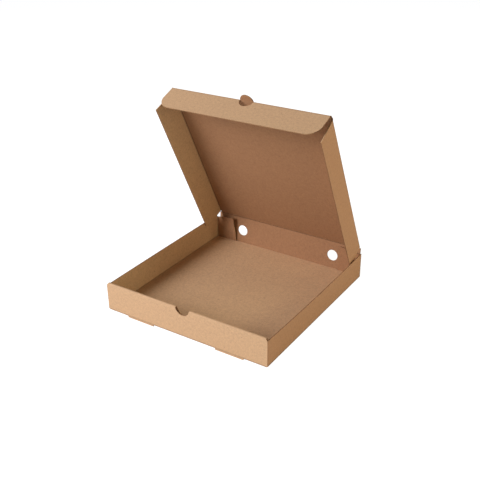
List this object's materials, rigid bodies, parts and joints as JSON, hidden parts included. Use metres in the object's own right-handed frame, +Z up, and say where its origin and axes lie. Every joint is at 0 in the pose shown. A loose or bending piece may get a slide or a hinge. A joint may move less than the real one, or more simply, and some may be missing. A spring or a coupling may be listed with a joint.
{
  "type": "pizza box",
  "caption": "Square brown corrugated pizza box with hinged lid, rolled locking front wall, finger notch, thumb tab and two steam vents, lid standing open.",
  "frame": {"origin": "centre of the floor's underside", "axes": "+Z up, +Y to the rear wall that carries the lid, +X to the right as seen from the front"},
  "size_m": [0.33, 0.3489, 0.3691],
  "materials": {
    "kraft_board_outside": "matt uncoated kraft liner",
    "kraft_board_inside": "matt uncoated kraft liner, warmer and darker"
  },
  "bodies": {
    "tray": {"tray": "kraft_board_outside"},
    "rear_wall": {"rear_wall": "kraft_board_inside"},
    "lid": {"lid_panel": "kraft_board_inside"},
    "front_flap": {"lid_front_flap": "kraft_board_outside"},
    "left_flap": {"lid_left_flap": "kraft_board_outside"},
    "right_flap": {"lid_right_flap": "kraft_board_outside"},
    "left_corner_flap": {"rear_left_corner_flap": "kraft_board_outside"},
    "right_corner_flap": {"rear_right_corner_flap": "kraft_board_outside"}
  },
  "joints": [
    {"name": "rear_wall_fold", "type": "hinge", "parent": "tray", "child": "rear_wall", "pos_m": [0, 0.17125, 0.00075], "axis": [-1, 0, 0], "range_deg": [-4.9, 8.9]},
    {"name": "lid_hinge", "type": "hinge", "parent": "rear_wall", "child": "lid", "pos_m": [0, 0.1761, 0.05734], "axis": [-1, 0, 0], "range_deg": [-59.3, 106.9]},
    {"name": "front_flap_fold", "type": "hinge", "parent": "lid", "child": "front_flap", "pos_m": [0, 0.03193, 0.35385], "axis": [-1, 0, 0], "range_deg": [-88, 86]},
    {"name": "left_flap_fold", "type": "hinge", "parent": "lid", "child": "left_flap", "pos_m": [-0.15725, 0.10335, 0.20611], "axis": [0, -0.4352, 0.9003], "range_deg": [0, 88]},
    {"name": "right_flap_fold", "type": "hinge", "parent": "lid", "child": "right_flap", "pos_m": [0.15725, 0.10335, 0.20611], "axis": [0, 0.4352, -0.9003], "range_deg": [0, 88]},
    {"name": "left_corner_flap_fold", "type": "hinge", "parent": "tray", "child": "left_corner_flap", "pos_m": [-0.1635, 0.1687, 0.0245], "axis": [0, 0, -1], "range_deg": [0, 75]},
    {"name": "right_corner_flap_fold", "type": "hinge", "parent": "tray", "child": "right_corner_flap", "pos_m": [0.1635, 0.1687, 0.0245], "axis": [0, 0, 1], "range_deg": [0, 75]}
  ],
  "couplings": [
    {"joint": "rear_wall_fold", "follows": "lid_hinge", "ratio": 0.08263}
  ]
}
